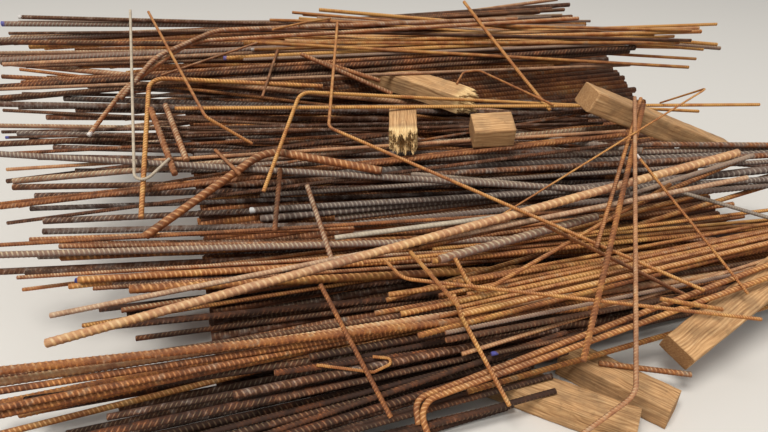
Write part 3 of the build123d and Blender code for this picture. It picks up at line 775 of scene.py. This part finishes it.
# One timber. Point (u, v) lies at start + a * along + y * side + z * up, where (y, z) runs round a
# rectangle with rounded corners that shrinks to its centre over each end, worn most at its corners,
# and a goes from 0 to the length, or to the height of the teeth at (y, z) over a broken end.
def makeTimber(node, settings):
    start, along, side, up, length = timberFrame(node)
    half = np.array([settings["width"], settings["depth"]]) / 2
    stops = np.array([[1, 0], [1, -1], [-1, -1], [-1, 1], [1, 1], [1, 0]]) * half
    run = np.concatenate([[0], np.cumsum(np.linalg.norm(np.diff(stops, axis=0), axis=1))])
    broken = node in settings["broken"]
    isBroken = 1.0 if broken else 0.0
    columns = settings["breakColumns"] if broken else settings["columns"]
    spot = np.arange(columns) * run[-1] / columns
    sharp = np.column_stack([np.interp(spot, run, stops[:, k]) for k in (0, 1)])
    inner = np.clip(sharp, -(half - settings["corner"]), half - settings["corner"])
    outer = sharp - inner
    ring = inner + settings["corner"] * outer / np.linalg.norm(outer, axis=1, keepdims=True)

    root = length - settings["reach"] if broken else length
    size, base, share = timberRings(root, broken, settings)
    y, z = (size[:, None] * ring[None, :, k] for k in (0, 1))
    a = base[:, None] + share[:, None] * tornHeight(y, z, node in settings["hollow"], settings)
    edges = (np.abs(y * z) / (half[0] * half[1])) ** 3
    wear, fineness = settings["wear"]
    worn = wear * edges * np.clip(0.35 + ripple(a, y + z, fineness), 0, 1)
    dents, fineness = settings["dents"]
    worn = worn + dents * np.clip(ripple(a, y - z, fineness), 0, 1)
    y, z = y * (1 - worn), z * (1 - worn)
    points = start + a[..., None] * along + y[..., None] * side + z[..., None] * up
    tips = [start + a[row].mean() * along for row in (0, -1)]

    offset = rng.uniform(0, 5)  # so that no two timbers have the same grain
    grain = np.stack([a + offset, y + 0.1 * offset, z], axis=-1).reshape(-1, 3)
    tipGrain = [[offset, 0.1 * offset, 0], [length + offset, 0.1 * offset, 0]]
    fresh = settings["fresh"]
    fresh = np.clip(share + (base - root + fresh) / fresh, 0, 1) * isBroken
    sides, caps = tubeFaces(len(size), columns)
    values = dict(
        grain=np.vstack([grain, tipGrain]),
        fresh=np.concatenate([np.repeat(fresh, columns), [0.0, isBroken]]),
        endGrain=np.concatenate([np.repeat(1.0 * (size < 1), columns), [1, 1]]))
    piece = makePiece(
        "timber_" + node, np.vstack([points.reshape(-1, 3), tips]),
        np.concatenate([sides.ravel(), caps.ravel()]),
        np.concatenate([np.full(len(sides), 4), np.full(len(caps), 3)]), values, {})
    piece.data.materials.append(timberWood)
    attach(piece, "root")
    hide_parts(node)


# Colours of the timber as they look. Grain is drawn out: coarse along the timber, fine across it.
woodColours = dict(
    wood=[(0.25, colour(120, 84, 52)), (0.42, colour(174, 130, 86)), (0.58, colour(204, 160, 110)),
          (0.75, colour(228, 190, 142))],
    torn=[(0.35, colour(186, 138, 82)), (0.6, colour(240, 208, 150))],
    grey=colour(130, 103, 74), soil=colour(92, 66, 46), knot=colour(96, 60, 34),
    sawn=colour(138, 98, 60),
)
woodSettings = dict(
    streak=(7.0, 170.0, 170.0), fibre=(40.0, 900.0, 900.0), drift=(5.0, 14.0, 14.0),
    knot=(7.0, 13.0, 13.0), blotch=16.0, soil=42.0,
    rings=900.0,  # radians for each metre from the pith
    streakHeight=0.0016, fibreHeight=0.0008,  # m
)


# Weathered softwood. Rings are sines of the distance from a pith beside the timber, fibres are
# noise drawn out along the grain, and a break shows pale new wood.
def timberFinish(name):
    made = Finish(name, roughness=0.8, specular=0.2)
    seen, chosen = woodColours, woodSettings
    grain = made.attribute("grain", "Vector")
    streak = made.noise(1.0, 5.0, 0.65, made.scaled(grain, chosen["streak"]))
    fibre = made.noise(1.0, 3.0, 0.6, made.scaled(grain, chosen["fibre"]))
    drift = made.noise(1.0, 2.0, 0.5, made.scaled(grain, chosen["drift"]))

    _, y, z = made.split(grain)
    bent = made.math("ADD", z, made.ranged(drift, 0.0, 1.0, 0.03, 0.13))
    away = made.math("SQRT", made.math("ADD", made.times(y, y), made.times(bent, bent)))
    ringed = made.ranged(made.math("SINE", made.times(away, chosen["rings"])), -1.0, 1.0)
    mixed = made.math("ADD", made.times(streak, 0.85), made.times(ringed, 0.12))
    wood = made.ramp(mixed, seen["wood"])

    blotch = made.noise(chosen["blotch"], 4.0, 0.6)
    weathered = made.mix(made.ranged(blotch, 0.42, 0.68, 0.0, 0.6), wood, seen["grey"])
    soiled = made.noise(chosen["soil"], 5.0, 0.7)
    weathered = made.mix(made.ranged(soiled, 0.58, 0.76, 0.0, 0.5), weathered, seen["soil"])
    knots = made.node("ShaderNodeTexVoronoi", {
        "Vector": made.scaled(grain, chosen["knot"]), "Scale": 1.0})
    knotted = made.ranged(knots.outputs["Distance"], 0.16, 0.07, 0.0, 0.7)
    weathered = made.mix(knotted, weathered, seen["knot"])
    sawn = made.mix(made.times(made.attribute("endGrain"), 0.55), weathered, seen["sawn"])

    fresh = made.times(made.attribute("fresh"), made.ranged(streak, 0.3, 0.55, 0.35, 1.0))
    shown = made.mix(fresh, sawn, made.ramp(fibre, seen["torn"]))
    normal = made.bump(streak, chosen["streakHeight"], 0.7)
    normal = made.bump(fibre, chosen["fibreHeight"], 0.6, normal)
    return made.finish(shown, made.ranged(streak, 0.3, 0.7, 0.92, 0.72), normal)


timberWood = timberFinish("timber")
timberNodes = [node for node in frame["nodes"] if node.startswith("bearer")]
for node in timberNodes:
    makeTimber(node, timberSettings)
print("timbers made:", len(timberNodes))


# Floor, sky and lamps, in metres and watts. The lamps look at a point above the origin.
stageSettings = dict(
    floor=colour(206, 200, 190), half=40.0, drop=0.001,
    sky=(0.92, 0.95, 1.0, 1.0), skyStrength=0.45, aim=(0, 0, 0.4),
    lamps=(
        dict(name="key", place=(-6.0, -4.8, 14.0), size=4.8, power=2300),
        dict(name="fill", place=(7.5, -7.5, 8.0), size=6.0, power=280),
    ),
)


def makeStage(settings):
    corners = np.array([[-1, -1, 0], [1, -1, 0], [1, 1, 0], [-1, 1, 0]]) * settings["half"]
    mesh = bpy.data.meshes.new("floor")
    mesh.from_pydata((corners - [0, 0, settings["drop"]]).tolist(), [], [[0, 1, 2, 3]])
    floor = bpy.data.objects.new("floor", mesh)
    bpy.context.scene.collection.objects.link(floor)
    pale = Finish("pale_floor", roughness=0.95, specular=0.2)
    floor.data.materials.append(pale.finish(settings["floor"]))

    world = bpy.data.worlds.new("soft sky")
    bpy.context.scene.world = world
    world.use_nodes = True
    background = world.node_tree.nodes["Background"]
    background.inputs["Color"].default_value = settings["sky"]
    background.inputs["Strength"].default_value = settings["skyStrength"]

    for row in settings["lamps"]:
        data = bpy.data.lights.new(row["name"], "AREA")
        data.size = row["size"]
        data.energy = row["power"]
        lamp = bpy.data.objects.new(row["name"], data)
        lamp.location = row["place"]
        aim = np.array(settings["aim"]) - np.array(row["place"])
        level = math.hypot(aim[0], aim[1])
        lamp.rotation_euler = (
            math.atan2(level, -aim[2]), 0, math.atan2(aim[1], aim[0]) - math.pi / 2)
        bpy.context.scene.collection.objects.link(lamp)


makeStage(stageSettings)
bpy.context.scene.view_settings.view_transform = "Standard"
print("stage ready")
